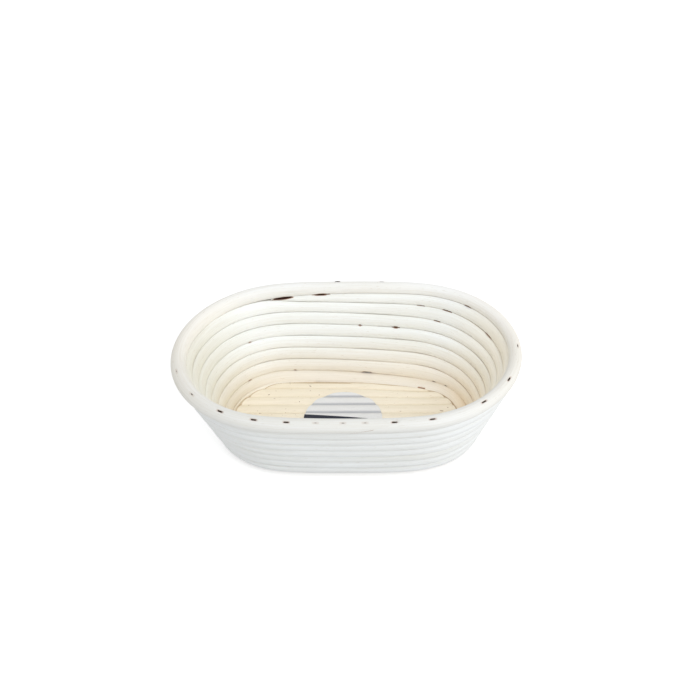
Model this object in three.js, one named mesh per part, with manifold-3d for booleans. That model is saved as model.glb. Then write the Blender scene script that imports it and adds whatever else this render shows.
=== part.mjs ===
// Oval bread-proofing basket wound from round rattan cane.
// Millimetres, +Z up, standing on z = 0, long axis along X, front towards -Y.
import * as THREE from "three";
import { mergeVertices } from "three/addons/utils/BufferGeometryUtils.js";
import Module from "manifold-3d";

const wasm = await Module();
wasm.setup();

// Overall size over the rim cane
const RIM_LENGTH = 250;
const RIM_WIDTH = 165;

// Cane sizes, measured over the corners of their facets
const WALL_CANE = 9.0;
const RIM_CANE = 10;

// Straight canes that fill the base
const BASE_CANES = 9;

// Wall: turns, lean out from upright in degrees, bend radius at the foot of the wall
const WALL_TURNS = 8;
const WALL_LEAN = 22;
const FOOT_BEND = 9;
const TURN_GAP = 0.45;

// Every turn runs parallel to one slim ellipse, whose half-width bows the long sides
const SIDE_BOW = 2.7;

// The wall cane climbs one pitch along the back of each turn.
// Shares of a turn are counted from the right-hand end, anticlockwise seen from above.
const CLIMB_LENGTH = 0.35;
const FIRST_CLIMB = 0.195;
const CLIMB_DRIFT = 0.007;

// Shaved ends of the wall cane and the slanted joint in the rim cane
const START_THICKNESS = 1.7;
const END_THICKNESS = 1.2;
const SCARF_AT = 0.779;
const SCARF_LENGTH = 45;
const SCARF_TIP = 1.0;

// Clearance between pieces that touch, and the flat worn on the underside
const CLEARANCE = 0.3;
const UNDERSIDE_FLAT = 0.9;

// Wire staples: square wire, width over the crown, length of the legs, depth below the surface
const STAPLE_WIRE = 1.1;
const STAPLE_SINK = 0.15;
const RIM_STAPLE_WIDTH = 5;
const RIM_STAPLE_LEGS = 16;
const BASE_STAPLE_LEGS = 5.5;

// Where the rim was stapled, in hundredths of a turn, closest together along its slanted joint
const RIM_STAPLES_AT = [
  0.1, 20.8, 26.6, 53.8, 57.8, 61.7, 65.3, 68.8, 72.1, 75.2, 77.7, 81.0, 85.0, 90.6, 94.8,
];

// Two rows of staples across the underside, as shares of half the length of the base,
// with every other staple set in towards the middle
const BASE_STAPLE_ROWS = [-0.54, 0.54];
const BASE_STAPLE_STAGGER = 8;

// Paper label stuck on the base: its diameter as a share of the width of the base,
// and how far it sits off the middle as shares of half the length and half the width
const LABEL_SHARE = 0.76;
const LABEL_ALONG = -0.058;
const LABEL_ACROSS = -0.015;
const LABEL_THICKNESS = 0.3;

// Facets
const CANE_SIDES = 10;
const STEPS_PER_TURN = 36;
const RIM_SIDES = 12;
const RIM_STEPS = 48;
const BASE_SIDES = 12;
const OUTLINE_STEPS = 72;
const END_CROWDING = 60;
const WALK_STEPS = 2880;
const LEAST_STEP = 0.2;

// Sizes that follow from those above
const lean = THREE.MathUtils.degToRad(WALL_LEAN);
const wallRadius = WALL_CANE / 2;
const rimRadius = RIM_CANE / 2;
const spineHalfWidth = SIDE_BOW;
const spineHalfLength = Math.max((RIM_LENGTH - RIM_WIDTH) / 2, 0) + SIDE_BOW;
const rimOffset = RIM_WIDTH / 2 - rimRadius - spineHalfWidth;
const pitchOnBack = WALL_CANE + TURN_GAP;
const pitch = pitchOnBack / (1 - CLIMB_DRIFT / CLIMB_LENGTH);
const topEdge = rimRadius + CLEARANCE;
const innerEdge = topEdge + WALL_TURNS * pitch;
const footEnd = innerEdge - pitch / 2;
const bendRate = 2 * Math.asin(pitch / 2 / FOOT_BEND) / pitch;
const bendTravel = (Math.PI / 2 - lean) / bendRate;
const straightTravel = footEnd - bendTravel;
const baseLevel = wallRadius - UNDERSIDE_FLAT;
const bendDrop = FOOT_BEND * (1 - Math.sin(lean));
const rimLevel = baseLevel + bendDrop + straightTravel * Math.cos(lean);
const bendOffset = rimOffset - straightTravel * Math.sin(lean);
const footOffset = bendOffset - FOOT_BEND * Math.cos(lean);

// A point of the oval that lies a given offset outside the slim ellipse,
// at the place where the oval's outward direction is the angle theta
function ovalPoint(theta, offset) {
  const c = Math.cos(theta);
  const s = Math.sin(theta);
  const h = Math.hypot(spineHalfLength * c, spineHalfWidth * s);
  const x = spineHalfLength ** 2 * c / h + offset * c;
  const y = spineHalfWidth ** 2 * s / h + offset * s;
  return new THREE.Vector2(x, y);
}

// Outward direction against the share of the way round, by walking round the middle of the wall
const middleOffset = rimOffset - straightTravel * Math.sin(lean) / 2;
const walk = [];
function walkRound() {
  let way = 0;
  let crowded = 0;
  let last = ovalPoint(0, middleOffset);
  for (let i = 0; i <= WALK_STEPS; i += 1) {
    const theta = 2 * Math.PI * i / WALK_STEPS;
    const here = ovalPoint(theta, middleOffset);
    const step = here.distanceTo(last);
    way += step;
    crowded += i > 0 ? step + END_CROWDING * 2 * Math.PI / WALK_STEPS : 0;
    walk.push({ theta, way, crowded });
    last = here;
  }
  return way;
}
const middleLength = walkRound();

// Looks up one column of the walk from another by straight-line filling
function lookUp(value, from, to) {
  let low = 0;
  let high = walk.length - 1;
  while (high - low > 1) {
    const half = (low + high) >> 1;
    if (walk[half][from] <= value) {
      low = half;
    } else {
      high = half;
    }
  }
  const span = walk[high][from] - walk[low][from];
  const part = (value - walk[low][from]) / span;
  return walk[low][to] + (walk[high][to] - walk[low][to]) * part;
}

function thetaAt(share) {
  const turns = Math.floor(share);
  return lookUp((share - turns) * middleLength, "way", "theta");
}

// Shares of a turn for a number of steps, closer together round the ends of the oval
function stations(count) {
  const total = walk[walk.length - 1].crowded;
  const shares = [];
  for (let i = 0; i < count; i += 1) {
    shares.push(lookUp(total * i / count, "crowded", "way") / middleLength);
  }
  return shares;
}

// The wall's profile: a straight lean, a bend at the foot, then level along the base.
// Travel is measured down from the centre of the rim cane.
function profile(travel) {
  if (travel <= straightTravel) {
    const offset = rimOffset - travel * Math.sin(lean);
    const z = rimLevel - travel * Math.cos(lean);
    return { offset, z, tilt: lean };
  }
  if (travel >= footEnd) {
    const offset = footOffset - (travel - footEnd);
    return { offset, z: baseLevel, tilt: Math.PI / 2 };
  }
  const tilt = lean + (travel - straightTravel) * bendRate;
  const offset = bendOffset - FOOT_BEND * (Math.cos(lean) - Math.cos(tilt));
  const z = baseLevel + FOOT_BEND * (1 - Math.sin(tilt));
  return { offset, z, tilt };
}

// A round section with one side shaved flat: corners spread over the arc that is left.
// The arc is centred on the angle keep, and the flat lies at a height from the section's centre.
function section(radius, sides, keep, height) {
  const whole = Math.PI * (1 - 1 / sides);
  const ratio = THREE.MathUtils.clamp(height / radius, -1, 1);
  const half = Math.min(whole, Math.PI - Math.acos(ratio));
  const corners = [];
  for (let i = 0; i < sides; i += 1) {
    const angle = keep + half * (2 * i / (sides - 1) - 1);
    corners.push(new THREE.Vector2(radius * Math.cos(angle), radius * Math.sin(angle)));
  }
  return corners;
}

// The same corners, counted from the opposite side of the section
function halfTurned(corners) {
  const half = corners.length / 2;
  return corners.slice(half).concat(corners.slice(0, half));
}

// Joins rings of corners into one closed tube with flat ends
function tube(rings) {
  const sides = rings[0].length;
  const points = rings.flat();
  const index = [];
  for (let r = 0; r + 1 < rings.length; r += 1) {
    for (let i = 0; i < sides; i += 1) {
      const a = r * sides + i;
      const b = r * sides + (i + 1) % sides;
      index.push(a, b, b + sides, a, b + sides, a + sides);
    }
  }
  const last = (rings.length - 1) * sides;
  for (let i = 1; i + 1 < sides; i += 1) {
    index.push(0, i + 1, i);
    index.push(last, last + i, last + i + 1);
  }
  const geometry = new THREE.BufferGeometry().setFromPoints(points);
  geometry.setIndex(facingOut(points, index));
  geometry.computeVertexNormals();
  return geometry;
}

// Turns every face over when the body they enclose comes out negative
function facingOut(points, index) {
  let volume = 0;
  for (let i = 0; i < index.length; i += 3) {
    const a = points[index[i]];
    const b = points[index[i + 1]];
    const c = points[index[i + 2]];
    volume += a.dot(new THREE.Vector3().crossVectors(b, c));
  }
  return volume < 0 ? index.slice().reverse() : index;
}

// How far the wall cane has climbed, in pitches, at a share of one of its turns
function climbed(turn, share) {
  const middle = FIRST_CLIMB + CLIMB_DRIFT * turn;
  return THREE.MathUtils.clamp((share - middle) / CLIMB_LENGTH + 0.5, 0, 1);
}

// The share of a turn at which the climb has reached a height
function shareClimbed(turn, height) {
  return FIRST_CLIMB + CLIMB_DRIFT * turn + (height - 0.5) * CLIMB_LENGTH;
}

// One ring of the wall cane. The first length lies level on the base and is shaved to fit beside
// the straight base canes; the last length is shaved to run out under the rim.
function wallRing(turn, share) {
  const level = turn + climbed(turn, share);
  const travel = innerEdge + pitch / 2 - level * pitch;
  const place = profile(travel);
  const theta = thetaAt(share);
  const centre = ovalPoint(theta, place.offset);
  const out = new THREE.Vector2(Math.cos(theta), Math.sin(theta));
  const toBase = innerEdge - CLEARANCE - travel;
  const toRim = travel - topEdge;
  const startCut = section(wallRadius, CANE_SIDES, Math.PI, toBase);
  const endCut = halfTurned(section(wallRadius, CANE_SIDES, 0, toRim));
  const corners = turn < WALL_TURNS ? startCut : endCut;
  return corners.map((corner) => {
    const along = corner.x;
    const inward = corner.y;
    const dOut = -along * Math.sin(place.tilt) - inward * Math.cos(place.tilt);
    const dUp = -along * Math.cos(place.tilt) + inward * Math.sin(place.tilt);
    const z = Math.max(place.z + dUp, 0);
    return new THREE.Vector3(centre.x + out.x * dOut, centre.y + out.y * dOut, z);
  });
}

// The wall cane: one unbroken length from its shaved start on the base to its shaved end at the rim
function wallRings() {
  const startHeight = (START_THICKNESS - wallRadius + CLEARANCE) / pitch + 0.5;
  const endHeight = (wallRadius - END_THICKNESS) / pitch + 0.5;
  const startShare = shareClimbed(0, startHeight);
  const endShare = shareClimbed(WALL_TURNS, endHeight);
  const shares = stations(STEPS_PER_TURN);
  const least = LEAST_STEP / STEPS_PER_TURN;
  const rings = [wallRing(0, startShare)];
  for (let turn = 0; turn <= WALL_TURNS; turn += 1) {
    for (const share of shares) {
      const begun = turn > 0 || share > startShare + least;
      const open = turn < WALL_TURNS || share < endShare - least;
      if (begun && open) {
        rings.push(wallRing(turn, share));
      }
    }
  }
  rings.push(wallRing(WALL_TURNS, endShare));
  return rings;
}

// Least distance between corners of rings that lie a whole turn apart
function leastSelfGap(rings) {
  let least = Infinity;
  for (let r = 0; r < rings.length; r += 1) {
    const from = r + STEPS_PER_TURN - 2;
    const to = Math.min(r + STEPS_PER_TURN + 2, rings.length - 1);
    for (let q = from; q <= to; q += 1) {
      for (const a of rings[r]) {
        for (const b of rings[q]) {
          least = Math.min(least, a.distanceTo(b));
        }
      }
    }
  }
  return least;
}

// The rim cane: one thicker hoop whose two ends are cut on a slant and lie one on the other
function rimRings() {
  const span = SCARF_LENGTH / middleLength;
  const first = SCARF_AT - span / 2;
  const tip = SCARF_TIP / RIM_CANE;
  const opening = first + span * tip;
  const closing = first + 1 + span * (1 - tip);
  const shares = stations(RIM_STEPS);
  const least = LEAST_STEP / RIM_STEPS;
  const places = [opening, first + span, first + 1];
  for (const share of shares) {
    places.push(share, share + 1);
  }
  const used = places.filter((share) => share >= opening && share < closing - least);
  used.sort((a, b) => a - b);
  used.push(closing);
  const kept = used.filter((share, i) => i === 0 || share - used[i - 1] > least || i === used.length - 1);
  return kept.map((share) => rimRing(share, first, span));
}

function rimRing(share, first, span) {
  const theta = thetaAt(share);
  const centre = ovalPoint(theta, rimOffset);
  const cutAtStart = RIM_CANE * ((share - first) / span - 0.5) - CLEARANCE / 2;
  const cutAtEnd = RIM_CANE * (0.5 - (share - first - 1) / span) - CLEARANCE / 2;
  const lower = section(rimRadius, RIM_SIDES, -Math.PI / 2, cutAtStart);
  const upper = halfTurned(section(rimRadius, RIM_SIDES, Math.PI / 2, cutAtEnd));
  const corners = share < first + 0.5 ? lower : upper;
  return corners.map((corner) => {
    const x = centre.x + Math.cos(theta) * corner.x;
    const y = centre.y + Math.sin(theta) * corner.x;
    return new THREE.Vector3(x, y, rimLevel + corner.y);
  });
}

// Solids for cutting and joining
function solid(geometry) {
  const bare = geometry.clone();
  bare.deleteAttribute("normal");
  bare.deleteAttribute("uv");
  const merged = mergeVertices(bare, 1e-4);
  const vertProperties = new Float32Array(merged.attributes.position.array);
  const triVerts = new Uint32Array(merged.index.array);
  return new wasm.Manifold(new wasm.Mesh({ numProp: 3, vertProperties, triVerts }));
}

function geometryOf(body) {
  const mesh = body.getMesh();
  const geometry = new THREE.BufferGeometry();
  geometry.setAttribute("position", new THREE.BufferAttribute(new Float32Array(mesh.vertProperties), 3));
  geometry.setIndex(new THREE.BufferAttribute(new Uint32Array(mesh.triVerts), 1));
  geometry.computeVertexNormals();
  return geometry;
}

// The room for the base: an upright block of the oval inside the lowest turn
const baseOffset = profile(innerEdge).offset - CLEARANCE;
const baseHalfWidth = baseOffset + spineHalfWidth;
const baseHalfLength = baseOffset + spineHalfLength;
function baseRoom() {
  const outline = stations(OUTLINE_STEPS).map((share) => ovalPoint(thetaAt(share), baseOffset));
  const block = new THREE.ExtrudeGeometry(new THREE.Shape(outline), {
    depth: 2 * WALL_CANE,
    bevelEnabled: false,
  });
  return solid(block);
}

// Straight canes laid side by side fill the room, with their ends cut to its outline
const basePitch = (2 * baseHalfWidth + CLEARANCE) / BASE_CANES;
const baseRadius = (basePitch - CLEARANCE) / 2 / Math.cos(Math.PI / BASE_SIDES);
const baseCaneLevel = baseRadius - UNDERSIDE_FLAT;
const baseStapleWidth = basePitch + STAPLE_WIRE;
const baseTop = baseCaneLevel + baseRadius * Math.cos(Math.PI / BASE_SIDES);
function baseCane(row, room) {
  const round = new THREE.CylinderGeometry(
    baseRadius, baseRadius, 2 * baseHalfLength + WALL_CANE, BASE_SIDES, 1, false, Math.PI / BASE_SIDES);
  round.rotateZ(Math.PI / 2);
  round.translate(0, (row - (BASE_CANES - 1) / 2) * basePitch, baseCaneLevel);
  return solid(round).intersect(room);
}

// A staple's outline: a crown along X and two legs down Y, grown by a clearance to cut its slot
function stapleOutline(width, legs, grow, open) {
  const half = width / 2 + grow;
  const inner = width / 2 - STAPLE_WIRE - grow;
  const foot = -legs - grow;
  const under = -STAPLE_WIRE - grow;
  const outline = [[-half, open], [-half, foot], [-inner, foot], [-inner, under]];
  const mirrored = outline.map(([x, y]) => [-x, y]).reverse();
  return new THREE.Shape(outline.concat(mirrored).map(([x, y]) => new THREE.Vector2(x, y)));
}

function stapleGeometry(width, legs, grow, open) {
  const thick = STAPLE_WIRE + 2 * grow;
  const shape = stapleOutline(width, legs, grow, open);
  const geometry = new THREE.ExtrudeGeometry(shape, { depth: thick, bevelEnabled: false });
  geometry.translate(0, 0, -thick / 2);
  return geometry;
}

// Places for the rim staples, driven down the lean of the wall through the middle of the rim cane
function rimStaplePlace(hundredths) {
  const theta = thetaAt(hundredths / 100);
  const centre = ovalPoint(theta, rimOffset);
  const along = new THREE.Vector3(-Math.sin(theta), Math.cos(theta), 0);
  const back = new THREE.Vector3(
    Math.cos(theta) * Math.sin(lean), Math.sin(theta) * Math.sin(lean), Math.cos(lean));
  const crown = rimRadius * Math.cos(Math.PI / RIM_SIDES) - STAPLE_SINK;
  const place = new THREE.Matrix4().makeBasis(along, back, along.clone().cross(back));
  const at = new THREE.Vector3(centre.x, centre.y, rimLevel).addScaledVector(back, crown);
  return place.setPosition(at);
}

// Places for the staples of the underside, each across the groove between two neighbours
function baseStaplePlaces() {
  const places = [];
  for (const row of BASE_STAPLE_ROWS) {
    for (let groove = 0; groove <= BASE_CANES; groove += 1) {
      const onShavedStart = groove === BASE_CANES && row > 0;
      if (!onShavedStart) {
        const x = row * baseHalfLength - Math.sign(row) * BASE_STAPLE_STAGGER * (groove % 2);
        const y = (groove - BASE_CANES / 2) * basePitch;
        const place = new THREE.Matrix4().makeBasis(
          new THREE.Vector3(0, 1, 0), new THREE.Vector3(0, 0, -1), new THREE.Vector3(-1, 0, 0));
        places.push(place.setPosition(x, y, STAPLE_SINK));
      }
    }
  }
  return places;
}

// All the slots of a set of staples as one body for cutting
function slots(places, width, legs) {
  const open = 2 * STAPLE_WIRE;
  const cutter = stapleGeometry(width, legs, CLEARANCE, open);
  return places
    .map((place) => solid(cutter.clone().applyMatrix4(place)))
    .reduce((all, one) => all.add(one));
}

// Assembly
const basket = new THREE.Group();
basket.name = "proofing_basket";

function addPiece(name, geometry, colour, roughness, metalness) {
  const material = new THREE.MeshStandardMaterial({ color: colour, roughness, metalness });
  const mesh = new THREE.Mesh(geometry, material);
  mesh.name = name;
  basket.add(mesh);
  return mesh;
}

function addStaples(kind, places, width, legs) {
  places.forEach((place, i) => {
    const name = `${kind}_${String(i + 1).padStart(2, "0")}`;
    const mesh = addPiece(name, stapleGeometry(width, legs, 0, 0), "#4d463e", 0.45, 0.8);
    mesh.applyMatrix4(place);
  });
}

const rimPlaces = RIM_STAPLES_AT.map(rimStaplePlace);
const basePlaces = baseStaplePlaces();
const rimSlots = slots(rimPlaces, RIM_STAPLE_WIDTH, RIM_STAPLE_LEGS);
const baseSlots = slots(basePlaces, baseStapleWidth, BASE_STAPLE_LEGS);
const wall = wallRings();
const room = baseRoom();

addPiece("rim_cane", geometryOf(solid(tube(rimRings())).subtract(rimSlots)), "#ece7d8", 0.7, 0);
const slottedWall = solid(tube(wall)).subtract(rimSlots).subtract(baseSlots);
addPiece("wall_cane", geometryOf(slottedWall), "#eae3cf", 0.75, 0);
for (let row = 0; row < BASE_CANES; row += 1) {
  const name = `base_cane_${String(row + 1).padStart(2, "0")}`;
  addPiece(name, geometryOf(baseCane(row, room).subtract(baseSlots)), "#e8dcc0", 0.75, 0);
}
addStaples("rim_staple", rimPlaces, RIM_STAPLE_WIDTH, RIM_STAPLE_LEGS);
addStaples("base_staple", basePlaces, baseStapleWidth, BASE_STAPLE_LEGS);
const labelRadius = LABEL_SHARE * baseHalfWidth;
const label = new THREE.CylinderGeometry(labelRadius, labelRadius, LABEL_THICKNESS, 48);
label.rotateX(Math.PI / 2);
const labelMesh = addPiece("base_label", label, "#dde1e6", 0.55, 0);
labelMesh.position.set(
  LABEL_ALONG * baseHalfLength, LABEL_ACROSS * baseHalfWidth, baseTop + CLEARANCE + LABEL_THICKNESS / 2);

console.log(`height ${(rimLevel + rimRadius).toFixed(2)} mm, pitch ${pitch.toFixed(2)} mm`);
console.log(`least gap of the wall cane to itself ${leastSelfGap(wall).toFixed(2)} mm`);

export default basket;
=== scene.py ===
# %% [markdown]
# # An oval proofing basket
# Bread dough takes its last rise in a basket like this one, and keeps the print of its ribs.
# It is made of rattan core, the pale inside of a climbing palm, drawn to round cane: nine
# straight canes fill the base, one long cane is wound up the leaning wall, a thicker cane
# closes the rim, and wire staples hold them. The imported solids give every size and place.
# This lesson makes the finer shapes over them and gives each its finish.

# %% Load the fixed frame
import math
import bpy
import numpy as np
from mathutils import Matrix, Vector


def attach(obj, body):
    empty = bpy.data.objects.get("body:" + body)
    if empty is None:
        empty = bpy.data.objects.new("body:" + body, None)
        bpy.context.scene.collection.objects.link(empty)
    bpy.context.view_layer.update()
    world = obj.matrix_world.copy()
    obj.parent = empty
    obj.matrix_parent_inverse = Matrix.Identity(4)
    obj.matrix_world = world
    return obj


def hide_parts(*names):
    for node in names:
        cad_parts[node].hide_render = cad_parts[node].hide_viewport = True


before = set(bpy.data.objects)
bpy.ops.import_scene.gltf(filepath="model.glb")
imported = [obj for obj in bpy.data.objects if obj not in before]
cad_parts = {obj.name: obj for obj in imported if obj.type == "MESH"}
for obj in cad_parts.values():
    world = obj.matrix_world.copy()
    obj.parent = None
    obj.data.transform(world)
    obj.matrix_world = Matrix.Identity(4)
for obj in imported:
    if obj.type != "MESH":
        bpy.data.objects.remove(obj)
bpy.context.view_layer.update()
MM = 0.001

# %% [markdown]
# ## The camera
# The picture was taken from the middle of one long side, looking down by about forty degrees.
# A camera can be set by eye, or worked out: here the basket's outline and the lines of its
# turns were matched, which gives the distance, the angles and the focal length in pixels.

# %% Set the camera
PICTURE_PIXELS = 700
FOCAL_PIXELS = 1149.0
CAMERA_DISTANCE = 842.9 * MM
CAMERA_ELEVATION = 39.25
CAMERA_AZIMUTH = 3.75
CAMERA_ROLL = -2.7
AIM = Vector((0, 0, 35 * MM))
AIM_PIXEL = (347.9, 390.6)


def picture_camera():
    """Sets the camera so that the aim falls on its pixel, then rolls it a little."""
    elevation = math.radians(CAMERA_ELEVATION)
    azimuth = math.radians(CAMERA_AZIMUTH)
    roll = math.radians(CAMERA_ROLL)
    level = math.cos(elevation)
    back = Vector((math.sin(azimuth) * level, -math.cos(azimuth) * level, math.sin(elevation)))
    right = Vector((math.cos(azimuth), math.sin(azimuth), 0))
    up = back.cross(right)
    across = right * math.cos(roll) + up * math.sin(roll)
    upward = up * math.cos(roll) - right * math.sin(roll)
    per_pixel = CAMERA_DISTANCE / FOCAL_PIXELS
    middle = PICTURE_PIXELS / 2
    eye = AIM + back * CAMERA_DISTANCE
    eye += upward * (AIM_PIXEL[1] - middle) * per_pixel - across * (AIM_PIXEL[0] - middle) * per_pixel
    lens = bpy.data.cameras.new("picture_camera")
    lens.sensor_width = 36
    lens.lens = FOCAL_PIXELS / PICTURE_PIXELS * lens.sensor_width
    camera = bpy.data.objects.new("picture_camera", lens)
    bpy.context.collection.objects.link(camera)
    camera.matrix_world = Matrix((
        (across.x, upward.x, back.x, eye.x),
        (across.y, upward.y, back.y, eye.y),
        (across.z, upward.z, back.z, eye.z),
        (0, 0, 0, 1),
    ))
    bpy.context.scene.camera = camera
    return camera


camera = picture_camera()
print("lens in mm:", round(camera.data.lens, 1), "eye:", [round(v, 3) for v in camera.location])

# %% [markdown]
# ## The sizes of the winding
# These are the sizes of the real basket in millimetres, the same as the solids have. Every
# turn runs parallel to one slim ellipse, so one function gives a point of any turn from the
# direction it faces and its offset from that ellipse.

# %% Sizes
RIM_LENGTH = 250.0
RIM_WIDTH = 165.0
WALL_CANE = 9.0
RIM_CANE = 10.0
BASE_CANES = 9
WALL_TURNS = 8
WALL_LEAN = math.radians(22)
FOOT_BEND = 9.0
TURN_GAP = 0.45
SIDE_BOW = 2.7
CLIMB_LENGTH = 0.35
FIRST_CLIMB = 0.195
CLIMB_DRIFT = 0.007
CLEARANCE = 0.3
UNDERSIDE_FLAT = 0.9

wall_radius = WALL_CANE / 2
rim_radius = RIM_CANE / 2
spine_length = (RIM_LENGTH - RIM_WIDTH) / 2 + SIDE_BOW
rim_offset = RIM_WIDTH / 2 - rim_radius - SIDE_BOW
pitch = (WALL_CANE + TURN_GAP) / (1 - CLIMB_DRIFT / CLIMB_LENGTH)
top_edge = rim_radius + CLEARANCE
inner_edge = top_edge + WALL_TURNS * pitch
foot_end = inner_edge - pitch / 2
bend_rate = 2 * math.asin(pitch / 2 / FOOT_BEND) / pitch
straight = foot_end - (math.pi / 2 - WALL_LEAN) / bend_rate
base_level = wall_radius - UNDERSIDE_FLAT
rim_level = base_level + FOOT_BEND * (1 - math.sin(WALL_LEAN)) + straight * math.cos(WALL_LEAN)
bend_offset = rim_offset - straight * math.sin(WALL_LEAN)
foot_offset = bend_offset - FOOT_BEND * math.cos(WALL_LEAN)
print("pitch in mm:", round(pitch, 2), "height in mm:", round(rim_level + rim_radius, 2))

# %% The oval and the wall's profile


def oval(theta, offset):
    """Point in plan where an oval, offset from the slim ellipse, faces the angle theta."""
    c = np.cos(theta)
    s = np.sin(theta)
    reach = np.hypot(spine_length * c, SIDE_BOW * s)
    return spine_length ** 2 * c / reach + offset * c, SIDE_BOW ** 2 * s / reach + offset * s


walk_theta = np.linspace(0, 2 * math.pi, 2881)
walk_x, walk_y = oval(walk_theta, rim_offset - straight * math.sin(WALL_LEAN) / 2)
walk_way = np.concatenate([[0], np.cumsum(np.hypot(np.diff(walk_x), np.diff(walk_y)))])
turn_length = walk_way[-1]


def theta_at(share):
    """Outward direction at a share of a turn: 0 right end, a quarter back, a half left end."""
    return np.interp(np.mod(share, 1) * turn_length, walk_way, walk_theta)


def profile(travel):
    """Offset, height and tilt of the wall, by the travel down it from the middle of the rim."""
    bend = np.clip(WALL_LEAN + (travel - straight) * bend_rate, WALL_LEAN, math.pi / 2)
    leaning = travel <= straight
    level = travel >= foot_end
    bent_out = bend_offset - FOOT_BEND * (math.cos(WALL_LEAN) - np.cos(bend))
    out = np.where(leaning, rim_offset - travel * math.sin(WALL_LEAN), bent_out)
    out = np.where(level, foot_offset - (travel - foot_end), out)
    bent_z = base_level + FOOT_BEND * (1 - np.sin(bend))
    z = np.where(leaning, rim_level - travel * math.cos(WALL_LEAN), bent_z)
    return out, z, bend


print("one turn in mm:", round(float(turn_length), 1))

# %% [markdown]
# ## A cane as a swept ring
# A cane can be a curve with a round bevel, but here it has to be shaved flat at its ends, to
# be pressed by staples and to carry marks, so it is a mesh: a row of rings joined by quads.
# Cane is wound wet and dries under pressure, so it is flattened where it meets its
# neighbours, and the grooves between the turns are shallow. Every corner also remembers its
# place in the cane before it was bent, so that the grain can run through it as in real wood.

# %% Rings into a mesh


def pressed_round(sides, press):
    """Corners of a section of radius one, widened by press and flattened where neighbours touch."""
    angle = 2 * math.pi * np.arange(sides) / sides
    return angle, np.clip(np.asarray(press)[..., None] * np.cos(angle), -1, 1), np.sin(angle)


def unevenness(way, seed, cycles):
    """Smooth hand-made unevenness between about -1 and 1, the same in every run."""
    chance = np.random.default_rng(seed)
    total = np.zeros_like(way)
    for wave in range(6):
        rate = cycles * (0.5 + 0.33 * wave + 0.2 * chance.random())
        total += np.sin(2 * math.pi * (rate * way + chance.random()))
    return total / 3


def swept_mesh(name, rings, along, around, marks, unbent=None, crease=60):
    """A closed mesh from rings in mm, with a map in metres and one number per corner and mark.

    Unbent is each corner's place in the section of the straight cane, for the grain.
    """
    count, sides = rings.shape[:2]
    here = np.arange(sides)
    after = (here + 1) % sides
    row = (np.arange(count - 1) * sides)[:, None]
    quads = np.stack([row + here, row + after, row + sides + after, row + sides + here], axis=2)
    quads = quads.reshape(-1, 4)
    last = (count - 1) * sides
    corner = (rings * MM).reshape(-1, 3)
    a, b, c = (corner[quads[:, i]] for i in range(3))
    inside_out = np.einsum("ij,ij->i", a, np.cross(b, c)).sum() < 0
    u = np.broadcast_to(np.concatenate([around, [2 * around[-1] - around[-2]]]), (count, sides + 1))
    v = np.broadcast_to(along if along.ndim == 2 else along[:, None], (count, sides))
    v = np.concatenate([v, v[:, :1]], axis=1)
    chart = np.stack([u, v], axis=2) * MM
    loops = np.stack([chart[:-1, :-1], chart[:-1, 1:], chart[1:, 1:], chart[1:, :-1]], axis=2)
    loops = loops.reshape(-1, 4, 2)
    caps = [here[::-1], last + here]
    if inside_out:
        quads = quads[:, ::-1]
        loops = loops[:, ::-1]
        caps = [cap[::-1] for cap in caps]
    ends = [corner[cap][:, :2] for cap in caps]
    mesh = bpy.data.meshes.new(name)
    mesh.from_pydata(corner.tolist(), [], quads.tolist() + [cap.tolist() for cap in caps])
    mesh.uv_layers.new(name="cane")
    flat = np.concatenate([loops.reshape(-1, 2)] + ends)
    mesh.uv_layers["cane"].data.foreach_set("uv", flat.astype(np.float32).ravel())
    smooth = np.ones(len(mesh.polygons), dtype=bool)
    smooth[-2:] = False
    mesh.polygons.foreach_set("use_smooth", smooth)
    for mark, value in marks.items():
        layer = mesh.attributes.new(mark, "FLOAT", "POINT")
        layer.data.foreach_set("value", np.ascontiguousarray(value, dtype=np.float32).ravel())
    if unbent is not None:
        section = np.broadcast_to(unbent, (count, sides, 2))
        grain = np.concatenate([section, v[:, :sides, None]], axis=2) * MM
        layer = mesh.attributes.new("grain", "FLOAT_VECTOR", "POINT")
        layer.data.foreach_set("vector", np.ascontiguousarray(grain, dtype=np.float32).ravel())
    mesh.update()
    mesh.set_sharp_from_angle(angle=math.radians(crease))
    return mesh


def place_piece(name, mesh, node):
    """Shows a mesh in place of a solid, riding on the basket's one body."""
    piece = bpy.data.objects.new(name, mesh)
    bpy.context.collection.objects.link(piece)
    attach(piece, "root")
    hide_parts(node)
    return piece


print("section helpers ready")
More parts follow.
